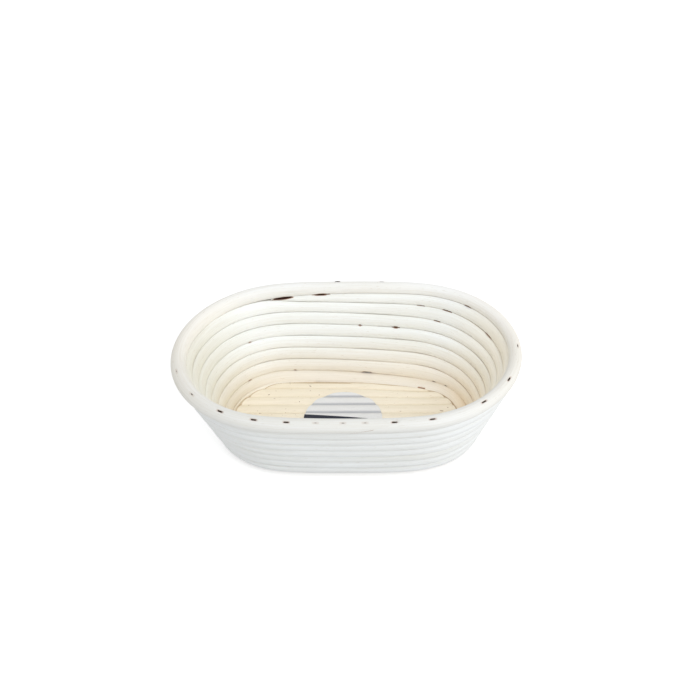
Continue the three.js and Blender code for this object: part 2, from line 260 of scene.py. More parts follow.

# %% [markdown]
# ## The wall cane
# One cane of more than four and a half metres goes round eight times. It lies level along the
# front, and along the back it climbs by its own thickness, which is why the lines inside slope
# there. Its start is shaved thin beside the base, and its end is shaved to run out under the
# rim. Stacked rings would be simpler, but they would lose the climb and both ends.
#
# A hand-wound cane does not lie evenly. The tables below say how: each pair is a share of a
# turn and a length in millimetres there. The first two turns and the last one settle down the
# wall, the base reaches up under the first turn, and the rim presses on the last one.
#
# A few short slits stay open between turns, where the cane was stiff. They are marked here, and
# the finish paints them dark later, as painted shade in the open gaps.

# %% Where the edges of the turns are
WALL_SIDES = 40
WALL_STEP = 2.2
CLIMB_EASE = 0.03
WALL_START = 0.30
WALL_END = 8.352
START_SETTLES = (
    (0, 0), (0.06, 1.1), (0.10, 2.6), (0.13, 6.0), (0.155, 6.9), (0.19, 5.7), (0.23, 4.3), (0.28, 2.8),
    (0.36, 1.8), (0.42, 0),
)
SECOND_SETTLES = ((0.07, 0), (0.10, 0.3), (0.125, 1.6), (0.15, 2.2), (0.19, 1.2), (0.24, 0.3), (0.28, 0))
END_SETTLES = (
    (0.03, 0), (0.10, -1.0), (0.17, -0.2), (0.22, 0.8), (0.31, 1.6), (0.335, 0.6),
    (0.355, -1.0), (0.37, -1.1), (0.40, -0.65), (0.46, 0),
)
BASE_GROWS = (
    (0.15, 0), (0.19, 0.8), (0.25, 3.0), (0.34, 3.7), (0.39, 5.5), (0.45, 7.4), (0.53, 7.4),
    (0.60, 4.0), (0.75, 1.4), (0.82, 0),
)
RIM_EDGE = (
    (-0.06, 5.2), (0.08, 3.5), (0.25, 3.5), (0.29, 3.9), (0.335, 5.2), (0.355, 5.6),
    (0.375, 5.5), (0.41, 5.2),
)
SETTLE_EASE = 0.012
TABLE_START = 0.1


def climbed(turn, share):
    """Climb within a turn, from 0 to 1, eased where it begins and ends."""
    middle = FIRST_CLIMB + CLIMB_DRIFT * turn
    eased = 0
    for shift in np.linspace(-CLIMB_EASE, CLIMB_EASE, 9):
        eased = eased + np.clip((share + shift - middle) / CLIMB_LENGTH + 0.5, 0, 1) / 9
    return eased


def along_turn(pairs, share):
    """Reads pairs of share and millimetres at any share of a turn, smoothed a little."""
    places, sizes = np.array(pairs).T
    around = np.mod(np.asarray(share) + TABLE_START, 1) - TABLE_START
    shifts = np.linspace(-SETTLE_EASE, SETTLE_EASE, 5)
    return sum(np.interp(around + shift, places, sizes) for shift in shifts) / 5


def upper_edge(turn, share):
    """Travel down the wall to the upper edge of a turn, which for the last one is the rim."""
    edge = inner_edge - (turn + climbed(turn, share)) * pitch
    edge = edge + np.where(turn == 0, along_turn(START_SETTLES, share), 0)
    edge = edge + np.where(turn == 1, along_turn(SECOND_SETTLES, share), 0)
    edge = edge + np.where(turn == WALL_TURNS - 1, along_turn(END_SETTLES, share), 0)
    return np.where(turn >= WALL_TURNS, along_turn(RIM_EDGE, share), edge)


def lower_edge(turn, share):
    """Travel down the wall to the lower edge of a turn, which for the first one is the base."""
    return np.where(turn == 0, inner_edge - along_turn(BASE_GROWS, share), upper_edge(turn - 1, share))


print("last turn, width in mm at the middle of the back:",
      round(float(lower_edge(WALL_TURNS, 0.25) - upper_edge(WALL_TURNS, 0.25)), 2))

# %% Open slits between the turns
# Each slit: the turn below it, share of the turn, length, height, and drop below the edge in mm
OPEN_SLITS = (
    (8, 0.338, 18.0, 2.3, 0.6), (8, 0.288, 15.0, 1.7, 0.3), (7, 0.123, 8.0, 1.2, 0),
    (7, 0.157, 7.0, 0.9, 0), (5, 0.189, 7.5, 1.2, 0), (5, 0.237, 4.0, 1.0, 0),
    (1, 0.228, 11.0, 2.0, 0), (1, 0.124, 8.0, 2.0, 0), (1, 0.099, 6.0, 2.4, 0),
    (1, 0.329, 5.0, 1.0, 0), (1, 0.409, 10.0, 0.45, 0), (0, 0.141, 12.0, 3.4, -1.3),
    (8, 0.098, 7.0, 1.0, 0), (7, 0.055, 16.0, 0.55, 0), (6, 0.134, 6.0, 0.8, 0),
    (4, 0.391, 6.0, 0.5, 0),
)
SLIT_SHARPNESS = 2.5
SLIT_DEPTH = 1.2
SLIT_INWARD = 1.2
BASE_SLIT_INWARD = -0.5
SLIT_STEP = 0.5


def slit_marks(share, travel, inward):
    """Marks the lens-shaped slits on the inner side, from 0 to 1 at each corner."""
    marks = np.zeros(travel.shape)
    for turn, place, length, height, drop in OPEN_SLITS:
        gone = (np.mod(share - place + 0.5, 1) - 0.5) * turn_length / (length / 2)
        over = (travel - upper_edge(turn, share)[:, None] - drop) / (height / 2)
        shown = min(height, 1) * (inward > (SLIT_INWARD if turn else BASE_SLIT_INWARD))
        lens = np.clip(SLIT_SHARPNESS * (1 - gone[:, None] ** 2 - np.abs(over)), 0, 1)
        marks = np.maximum(marks, shown * lens)
    return marks


wall_way = [np.arange(WALL_START, WALL_END, WALL_STEP / turn_length)]
for turn, place, length, *_ in OPEN_SLITS:
    near = np.arange(-length, length + 0.1, SLIT_STEP) / turn_length
    wall_way.extend([turn + place + near, turn + 1 + place + near])
wall_way = np.unique(np.round(np.concatenate(wall_way + [[WALL_END]]), 6))
wall_way = wall_way[(wall_way >= WALL_START) & (wall_way <= WALL_END)]
wall_length = (WALL_END - WALL_START) * float(turn_length)
print("wall cane in metres:", round(wall_length * MM, 2), "rings:", len(wall_way))

# %% Wind the wall cane
WALL_PRESS = 1.32
WALL_PRESS_AT_ENDS = 0.12
WALL_SWAY = 0.15
WALL_GROOVE_SHADE = 0.97
WALL_GROOVE_SHADE_AT_ENDS = 0.03
TURN_SPACE = 0.1
WIDTH_UNEVEN = 0.04
THINNEST = 0.2
WALL_FILL = 0.99
DEPTH_UNEVEN = 0.015
SHADE_BAND = 2.3
SHADE_SHARE = 0.28
SHADE_TINT = 1.1
FIRST_TURN_SHADE = 0.94
FIRST_SHADE_ENDS = 0.64
SECOND_SHADE_ENDS = 0.42


def wind_wall():
    """Sweeps the wall cane, with its grooves, slits and a line of painted shade beside the base."""
    turn = np.minimum(np.floor(wall_way), WALL_TURNS)
    share = wall_way - turn
    lower = lower_edge(turn, share)
    upper = upper_edge(turn, share)
    travel = (lower + upper) / 2
    out, z, tilt = profile(travel)
    out = out + WALL_SWAY * unevenness(wall_way, 3, 7)
    theta = theta_at(share)
    press = WALL_PRESS - WALL_PRESS_AT_ENDS * np.cos(theta)
    angle, across, inward = pressed_round(WALL_SIDES, press)
    inside = np.broadcast_to(0.5 + 0.5 * inward, across.shape)
    # Painted shade: a brown tint grows towards the flanks where the turns meet, stronger at the right
    # end and weaker at the left.
    groove = np.abs(across) * (WALL_GROOVE_SHADE + WALL_GROOVE_SHADE_AT_ENDS * np.cos(theta))[:, None]
    half_width = (lower - upper) / 2 - TURN_SPACE + WIDTH_UNEVEN * unevenness(wall_way, 5, 5)
    half_width = np.maximum(half_width, THINNEST)
    half_depth = wall_radius * (WALL_FILL + DEPTH_UNEVEN * unevenness(wall_way, 6, 4))
    across = half_width[:, None] * across
    inward = half_depth[:, None] * inward
    unbent = np.stack([across, inward], axis=2)
    slits = slit_marks(share, travel[:, None] + across, inward)
    # Painted shade in the groove where the first turns meet the base, on the inner side only.
    fading = FIRST_TURN_SHADE * np.clip((FIRST_SHADE_ENDS - share) / 0.1, 0, 1)
    at_base = np.where(turn == 0, fading, (turn == 1) & (share < SECOND_SHADE_ENDS))
    band = np.minimum(SHADE_BAND, SHADE_SHARE * (lower - upper))
    painted_shade = np.clip((travel - lower + band)[:, None] + across, 0, 1) * at_base[:, None]
    painted_shade = painted_shade * np.clip((inside - 0.4) / 0.1, 0, 1)
    inward = inward - SLIT_DEPTH * slits
    d_out = -across * np.sin(tilt)[:, None] - inward * np.cos(tilt)[:, None]
    d_up = -across * np.cos(tilt)[:, None] + inward * np.sin(tilt)[:, None]
    x, y = oval(theta[:, None], out[:, None] + d_out)
    rings = np.stack([x, y, np.maximum(z[:, None] + d_up, 0)], axis=2)
    around = angle * wall_radius
    # Painted shade at the ends of the inner wall: a warmer tint towards the right end and a darker one
    # towards the left.
    ends = np.cos(theta) * np.abs(np.cos(theta))
    painted_end_shade = np.broadcast_to(ends[:, None], inside.shape) * inside
    groove = np.maximum(groove, SHADE_TINT * painted_shade)
    marks = {"groove": groove, "slit": slits, "inside": inside, "painted_end_shade": painted_end_shade}
    return swept_mesh("wall_cane_wound", rings, wall_way * turn_length, around, marks, unbent)


wall_piece = place_piece("wall_cane_wound", wind_wall(), "wall_cane")
print("wall cane corners:", len(wall_piece.data.vertices))

# %% [markdown]
# ## The rim cane
# The rim is one thicker cane bent to a hoop. Its two ends are cut on a long slant and lie one
# on the other, which shows as a thin sloping line at the front. A natural cane tapers, so it is
# thickest near the left end, and its lower side is pressed flat on the wall. Most staples were
# driven hard enough to sink into the cane, so the mesh is pressed in around every crown.
#
# The rim could be a bevelled curve, but then the slanted ends, the flat and the dents would each
# need a boolean cut. As a sweep, every corner finds its own distance from the middle.

# %% Bend the rim cane
RIM_SIDES = 56
RIM_STEP = 0.7
SCARF_AT = 0.779
SCARF_LENGTH = 45.0
SCARF_TIP = 1.0
# The staples' places in hundredths of a turn, and how deep in mm some crowns sit, or stand proud
RIM_STAPLES_AT = (
    0.1, 20.8, 26.6, 53.8, 57.8, 61.7, 65.3, 68.8, 72.1, 75.2, 77.7, 81.0, 85.0, 90.6, 94.8,
)
STAPLE_SINKS = {
    0.1: 0.17, 26.6: -0.25, 53.8: 0.21, 57.8: 0.19, 72.1: 0.22, 75.2: 0.22, 77.7: 0.22,
}
RIM_STAPLE_WIDTH = 5.0
STAPLE_DIRECTION = math.pi / 2 - WALL_LEAN
DOWN_THE_WALL = -math.pi / 2 - WALL_LEAN
RIM_THICKEST = 0.55
RIM_TAPER = 0.08
SCARF_SHOWS = (0.760, 0.786)
SCARF_MARK = 0.7
RIM_PRESS = 1.2
RIM_PRESS_AT_ENDS = 0.1
DENT_DEPTH = 0.5
SUNK_DENT_DEPTH = 0.2
DENT_HALF_WIDTH = 0.8
DENT_SHADE = 0.25
RIM_END_SHADE = 0.5
SCARF_GAP = 0.01
RIM_SPACE = 0.08
RIM_FILL = 0.99
RIM_UNEVEN = 0.01
rim_length = float(np.hypot(*(np.diff(v) for v in oval(walk_theta, rim_offset))).sum())


def staple_dents(share, facing):
    """Depth in mm of the slots that the crowns were pressed into."""
    depth = np.zeros(facing.shape)
    for place in RIM_STAPLES_AT:
        away = np.mod(share - place / 100 + 0.5, 1) - 0.5
        along = np.abs(away * rim_length) / (RIM_STAPLE_WIDTH / 2 + 0.1)
        turned = np.mod(facing - STAPLE_DIRECTION + math.pi, 2 * math.pi) - math.pi
        over = np.abs(turned) * rim_radius / DENT_HALF_WIDTH
        deepest = SUNK_DENT_DEPTH if STAPLE_SINKS.get(place, 0) > 0 else DENT_DEPTH
        depth = np.maximum(depth, deepest * np.exp(-along[:, None] ** 8 - over ** 4))
    return depth


def rim_size(share):
    """Radius of the rim cane in mm: a natural cane is thicker towards one end."""
    return rim_radius * (1 + RIM_TAPER * np.cos(2 * math.pi * (share - RIM_THICKEST)))


def kept_arc(height, keep):
    """Facing angles of the corners that a slanted cut at a height leaves, around the angle keep."""
    whole = math.pi * (1 - 1 / RIM_SIDES)
    half = np.minimum(whole, math.pi - np.arccos(np.clip(height / rim_radius, -1, 1)))
    return keep + half[:, None] * (2 * np.arange(RIM_SIDES) / (RIM_SIDES - 1) - 1)


def bend_rim():
    """Sweeps the rim cane from one slanted end round to the other."""
    span = SCARF_LENGTH / turn_length
    first = SCARF_AT - span / 2
    tip = SCARF_TIP / RIM_CANE
    share = np.arange(first + span * tip, first + 1 + span * (1 - tip), RIM_STEP / turn_length)
    theta = theta_at(share)
    cut_start = RIM_CANE * ((share - first) / span - 0.5) - SCARF_GAP
    cut_end = RIM_CANE * (0.5 - (share - first - 1) / span) - SCARF_GAP
    lower = kept_arc(cut_start, -math.pi / 2)
    upper = np.roll(kept_arc(cut_end, math.pi / 2), -RIM_SIDES // 2, axis=1)
    facing = np.where((share < first + 0.5)[:, None], lower, upper)
    dents = staple_dents(share, facing)
    uneven = RIM_FILL + RIM_UNEVEN * unevenness(share, 11, 4)
    size = (rim_size(share) * uneven)[:, None] - dents
    flat = (along_turn(RIM_EDGE, share) - RIM_SPACE)[:, None]
    down = np.cos(facing - DOWN_THE_WALL)
    press = (RIM_PRESS - RIM_PRESS_AT_ENDS * np.cos(theta))[:, None]
    down = np.where(down > 0, np.minimum(press * down * size, flat), down * size)
    side = np.sin(facing - DOWN_THE_WALL) * size
    outward = down * math.cos(DOWN_THE_WALL) - side * math.sin(DOWN_THE_WALL)
    upward = down * math.sin(DOWN_THE_WALL) + side * math.cos(DOWN_THE_WALL)
    x, y = oval(theta[:, None], rim_offset + outward)
    rings = np.stack([x, y, rim_level + upward], axis=2)
    scarf = np.zeros(facing.shape)
    scarf[(share > SCARF_SHOWS[0]) & (share < SCARF_SHOWS[1]), -1] = SCARF_MARK
    # Painted shade in the slots around the staple crowns.
    painted_shade = np.clip(dents / DENT_DEPTH, 0, 1) * DENT_SHADE
    slits = np.maximum(painted_shade, slit_marks(share, down, -side))
    # Painted light: the back half of the rim gets the paler inside tone, for the stronger light that
    # falls on it.
    lit_back = np.broadcast_to(0.5 + 0.5 * np.sin(theta)[:, None], facing.shape)
    # Painted shade: the rim's ends take the warmer end tint too.
    painted_end_shade = np.broadcast_to(RIM_END_SHADE * np.abs(np.cos(theta))[:, None], facing.shape)
    # Painted shade on the rim's lower side, growing towards the flat that sits on the wall.
    groove = np.clip(down / flat, 0, 1)
    marks = {"groove": groove, "slit": np.maximum(slits, scarf), "inside": lit_back, "painted_end_shade": painted_end_shade}
    unbent = np.stack([outward, upward], axis=2)
    around = np.arange(RIM_SIDES) * 2 * math.pi / RIM_SIDES * rim_radius
    return swept_mesh("rim_cane_bent", rings, share * rim_length, around, marks, unbent, crease=35)


rim_piece = place_piece("rim_cane_bent", bend_rim(), "rim_cane")
print("rim cane corners:", len(rim_piece.data.vertices))

# %% [markdown]
# ## The base canes
# Nine straight canes lie side by side, each cut to the oval that the first turn leaves free.
# A boolean cut would work, but a ring whose corners each stop at the oval gives clean ends:
# every corner line runs from one side of the oval to the other at its own distance across.
#
# They were laid by hand too. The canes lie closer together at the back, reach further under the
# wall at the left end and along the middle, and stop short at the right of the back, where the
# first turns have settled over them. The tables give these lengths in millimetres, by the place
# along the base in millimetres or, for the shift, by the share of its half width.

# %% Lay the base canes
BASE_SIDES = 32
BASE_STEPS = 70
EDGE_GROWTH = 0.35
LEFT_GROWTH = 7.4
SIDE_GROWTH = ((-76, 3.0), (-50, 3.6), (0, 3.0), (50, 0.4), (70, 0))
BACK_GROWTH = ((0, 0), (15, 0), (38, -2.0), (52, -3.4), (62, -3.0), (75, 0))
LAID_SHIFT = (
    (-1, 0), (-0.55, 1.0), (-0.1, 2.2), (0.35, 3.0), (0.6, 3.0), (0.78, 2.6), (1, 0),
)
BASE_PRESS = 1.36
BASE_FILL = 0.99
BASE_LIFT = 0.12
BASE_SWAY = 0.1
BASE_GROOVE_SHADE = 0.96
END_BAND = 1.4
LEFT_END_BAND = 2.6
SIDE_BAND = 2.8
LEFT_SIDE_BAND = 3.6
EDGE_SHADE = 1.05
GRAIN_APART = 700.0
SOLID_SIDES = 12
base_offset = float(profile(np.array(inner_edge))[0]) - CLEARANCE
base_half_width = base_offset + SIDE_BOW
base_half_length = base_offset + spine_length
base_pitch = (2 * base_half_width + CLEARANCE) / BASE_CANES
base_radius = (base_pitch - CLEARANCE) / 2
base_cane_level = base_radius / math.cos(math.pi / SOLID_SIDES) - UNDERSIDE_FLAT
base_top = base_cane_level + base_radius
quarter = np.linspace(0, math.pi / 2, 800)
quarter_x, quarter_y = oval(quarter, base_offset)
even_y = np.linspace(-base_half_width, base_half_width, 400)
laid_y = even_y + np.interp(even_y / base_half_width, *np.array(LAID_SHIFT).T)


def base_cane(row):
    """Sweeps one straight cane of the base, counted from the front."""
    angle, across, upward = pressed_round(BASE_SIDES, BASE_PRESS)
    middle = (row - (BASE_CANES - 1) / 2) * base_pitch
    y = np.interp(middle + base_pitch / 2 * BASE_FILL * across, even_y, laid_y)
    z = np.maximum(base_cane_level + base_radius * upward, 0)
    reach = np.interp(np.minimum(np.abs(y), base_half_width - 0.02), quarter_y, quarter_x)
    along = np.sin(np.linspace(-math.pi / 2, math.pi / 2, BASE_STEPS))
    at_left = along[:, None] < 0
    reach = reach + EDGE_GROWTH + (LEFT_GROWTH - EDGE_GROWTH) * at_left
    x = along[:, None] * reach
    growth = np.interp(x, *np.array(SIDE_GROWTH).T)
    growth = growth + np.interp(x, *np.array(BACK_GROWTH).T) * (y > 0)
    y = y + growth * (y / base_half_width) ** 3
    y = y + EDGE_GROWTH * (y / base_half_width) ** 5
    lift = BASE_LIFT * unevenness(along, 20 + row, 0.8)[:, None] * np.clip(upward, 0, 1)
    sway = BASE_SWAY * unevenness(along, 40 + row, 0.6)[:, None]
    rings = np.stack([x, y + sway, z + lift], axis=2)
    # Painted shade: a brown tint towards the flanks where the canes meet, and in bands along their ends
    # and back edge where they run under the wall.
    groove = np.broadcast_to(BASE_GROOVE_SHADE * np.abs(across), x.shape)
    ends = np.abs(x) - reach + np.where(at_left, LEFT_END_BAND, END_BAND)
    back = y - base_half_width - growth + np.where(at_left, LEFT_SIDE_BAND, SIDE_BAND)
    groove = np.maximum(groove, EDGE_SHADE * np.clip(np.maximum(ends, back), 0, 1))
    inside = np.broadcast_to(0.5 + 0.5 * upward, x.shape)
    name = f"base_cane_laid_{row + 1:02d}"
    marks = {"groove": groove, "inside": inside}
    unbent = np.stack([y, np.broadcast_to(z, y.shape)], axis=2)
    return swept_mesh(name, rings, x + GRAIN_APART * row, angle * base_radius, marks, unbent)


base_pieces = []
for row in range(BASE_CANES):
    mesh = base_cane(row)
    base_pieces.append(place_piece(mesh.name, mesh, f"base_cane_{row + 1:02d}"))
print("base canes:", len(base_pieces), "pitch in mm:", round(base_pitch, 2))

# %% [markdown]
# ## The staples
# Rim staples go through the rim cane into the turns below, and base staples cross the grooves
# of the underside. A staple is drawn wire, flattened a little and bent over twice, so it is
# the same sweep with a small squared section along a bent path, its legs cut to a point. A
# bevelled curve would give the same bends, but not the flattened wire or the points. On the
# underside the crowns stand a hair proud of the flattened canes.

# %% Bend the staples
STAPLE_WIRE = 1.1
STAPLE_SINK = 0.15
STAPLE_BEND = 0.9
STAPLE_SIDES = 12
STAPLE_PRESS = 1.2
STAPLE_FLATTENING = 0.94
CROWN_ARCH = 0.04
POINT_LENGTH = 1.6
POINT_SIZE = 0.3
BASE_STAPLE_PROUD = 0.15
RIM_STAPLE_LEGS = 16.0
BASE_STAPLE_LEGS = 5.5
BASE_STAPLE_ROWS = (-0.54, 0.54)
BASE_STAPLE_STAGGER = 8.0


def staple_mesh(name, width, legs, place):
    """A staple along its own X with its legs down its own Y, set in place by a matrix in mm."""
    half = width / 2 - STAPLE_WIRE / 2
    bend = np.linspace(0, math.pi / 2, 6)
    centre = half - STAPLE_BEND
    right = np.stack([centre + STAPLE_BEND * np.sin(bend), STAPLE_BEND * (np.cos(bend) - 1)], axis=1)
    right = np.concatenate([right, [[half, -legs + POINT_LENGTH], [half, -legs + STAPLE_WIRE / 2]]])
    level = np.linspace(-centre, centre, 5)[1:-1]
    crown = np.stack([level, CROWN_ARCH * (1 - (level / centre) ** 2)], axis=1)
    path = np.concatenate([right[::-1] * (-1, 1), crown, right])
    path[:, 1] -= STAPLE_WIRE / 2
    course = np.gradient(path, axis=0)
    course /= np.linalg.norm(course, axis=1)[:, None]
    _, thick, deep = pressed_round(STAPLE_SIDES, STAPLE_PRESS)
    size = np.full(len(path), STAPLE_WIRE / 2)
    size[[0, -1]] *= POINT_SIZE
    normal = np.stack([-course[:, 1], course[:, 0]], axis=1)
    outward = size[:, None] * deep * STAPLE_FLATTENING
    plan = path[:, None, :] + normal[:, None, :] * outward[:, :, None]
    depth = np.broadcast_to(size[:, None] * thick, plan.shape[:2])
    local = np.concatenate([plan, depth[:, :, None]], axis=2)
    turned = local @ np.array(place.to_3x3()).T + np.array(place.translation)
    way = np.concatenate([[0], np.cumsum(np.linalg.norm(np.diff(path, axis=0), axis=1))])
    return swept_mesh(name, turned, way, np.arange(STAPLE_SIDES) * STAPLE_WIRE / 4, {})


def seat(along, back, at):
    """A matrix whose X runs along a crown and whose Y points out of the cane."""
    side = along.cross(back)
    return Matrix((
        (along.x, back.x, side.x, at.x), (along.y, back.y, side.y, at.y),
        (along.z, back.z, side.z, at.z), (0, 0, 0, 1),
    ))


rim_staples = []
for number, place in enumerate(RIM_STAPLES_AT, start=1):
    theta = float(theta_at(place / 100))
    x, y = (float(v) for v in oval(theta, rim_offset))
    along = Vector((-math.sin(theta), math.cos(theta), 0))
    lean = math.sin(WALL_LEAN)
    back = Vector((math.cos(theta) * lean, math.sin(theta) * lean, math.cos(WALL_LEAN)))
    sink = STAPLE_SINKS.get(place, STAPLE_SINK)
    at = Vector((x, y, rim_level)) + back * (float(rim_size(place / 100)) - sink)
    name = f"rim_staple_wire_{number:02d}"
    mesh = staple_mesh(name, RIM_STAPLE_WIDTH, RIM_STAPLE_LEGS, seat(along, back, at))
    rim_staples.append(place_piece(name, mesh, f"rim_staple_{number:02d}"))
print("rim staples:", len(rim_staples))

# %% Staples of the underside
base_staples = []
for end in BASE_STAPLE_ROWS:
    for groove in range(BASE_CANES + 1):
        if groove == BASE_CANES and end > 0:
            continue
        number = len(base_staples) + 1
        x = end * base_half_length - math.copysign(BASE_STAPLE_STAGGER, end) * (groove % 2)
        y = float(np.interp((groove - BASE_CANES / 2) * base_pitch, even_y, laid_y))
        at = Vector((x, y, -BASE_STAPLE_PROUD))
        name = f"base_staple_wire_{number:02d}"
        mesh = staple_mesh(name, base_pitch + STAPLE_WIRE, BASE_STAPLE_LEGS,
                           seat(Vector((0, 1, 0)), Vector((0, 0, -1)), at))
        base_staples.append(place_piece(name, mesh, f"base_staple_{number:02d}"))
print("base staples:", len(base_staples))

# %% [markdown]
# ## The paper label
# A round paper label is stuck to the base. Paper that is rubbed down on round canes sinks a
# little into each groove, so the disc is a grid of rings whose height follows the canes, with
# a second layer under it for the thickness of the paper.

# %% Rub the label down
LABEL_SHARE = 0.76
LABEL_ALONG = -0.058
LABEL_ACROSS = -0.015
LABEL_THICKNESS = 0.3
LABEL_SAG = 1.1
LABEL_SIDES = 144
LABEL_RINGS = 46
PAPER = 0.18


def label_mesh():
    """The disc as rings from its middle out over the top and back under it."""
    radius = LABEL_SHARE * base_half_width
    turn = np.linspace(0, 2 * math.pi, LABEL_SIDES + 1)[:-1]
    steps = radius * np.linspace(0.02, 1, LABEL_RINGS)
    x = LABEL_ALONG * base_half_length + steps[:, None] * np.cos(turn)
    y = LABEL_ACROSS * base_half_width + steps[:, None] * np.sin(turn)
    ribs = np.cos(2 * math.pi * np.interp(y, laid_y, even_y) / base_pitch)
    sunk = 0.5 - 0.5 * ribs
    top = base_top + CLEARANCE + LABEL_THICKNESS - LABEL_SAG * sunk ** 1.6
    upper = np.stack([x, y, top], axis=2)
    lower = np.stack([x, y, top - PAPER], axis=2)
    rings = np.concatenate([upper, lower[::-1]])
    # The groove mark is how far the paper sinks, which the finish uses for painted shade.
    marks = {"groove": np.concatenate([sunk, sunk[::-1]])}
    way = np.arange(len(rings)) * 1.0
    return swept_mesh("base_label_paper", rings, way, np.arange(LABEL_SIDES) * 1.0, marks)


label_piece = place_piece("base_label_paper", label_mesh(), "base_label")
print("label across in mm:", round(2 * LABEL_SHARE * base_half_width, 1))

# %% [markdown]
# ## Finishes
# Colours are written as they look on a screen and turned to linear light by one function.
# One more function adds a node with its settings and its links, so that each finish below
# reads as a list of what the real surface has.

# %% Colour and node helpers


def screen_colour(code):
    """Linear red, green, blue and alpha of an sRGB hex colour."""
    parts = [int(code[i:i + 2], 16) / 255 for i in (1, 3, 5)]
    linear = [p / 12.92 if p <= 0.04045 else ((p + 0.055) / 1.055) ** 2.4 for p in parts]
    return (*linear, 1.0)


def add(tree, kind, settings=None, links=None):
    """Adds a node; settings name its properties or sockets, and links feed its sockets."""
    node = tree.nodes.new(kind)
    for key, value in (settings or {}).items():
        if isinstance(key, str) and key in node.bl_rna.properties:
            setattr(node, key, value)
        else:
            node.inputs[key].default_value = value
    for key, source in (links or {}).items():
        tree.links.new(source, node.inputs[key])
    return node


def new_finish(name):
    """A named finish with an empty tree of nodes."""
    finish = bpy.data.materials.new(name)
    finish.use_nodes = True
    finish.node_tree.nodes.clear()
    return finish, finish.node_tree


print("cream:", [round(v, 3) for v in screen_colour("#eee9dc")])

# %% [markdown]
# ## Rattan core
# Rattan core is drawn through a round die and sanded, not varnished. To the eye it is a pale,
# dry, nearly white wood with fine darker fibres that run along it, short open pores, and slow
# changes of tone from one length to the next. A brown tint down in the grooves and beside the
# base is painted shade, as are the tints at the ends. The fibres are drawn about twice
# as wide as they are, so that they show at this distance.

# %% Drawn and sanded rattan core
FIBRE_SIZE = (0.5 * MM, 40 * MM)
PORE_SIZE = (0.35 * MM, 5 * MM)
TONE_SIZE = (9 * MM, 140 * MM)
FLECK_SIZE = (1.1 * MM, 2.6 * MM)
FIBRE_RELIEF = 0.12 * MM
WARM_HEIGHT = 8 * MM
PALE_HEIGHT = 38 * MM


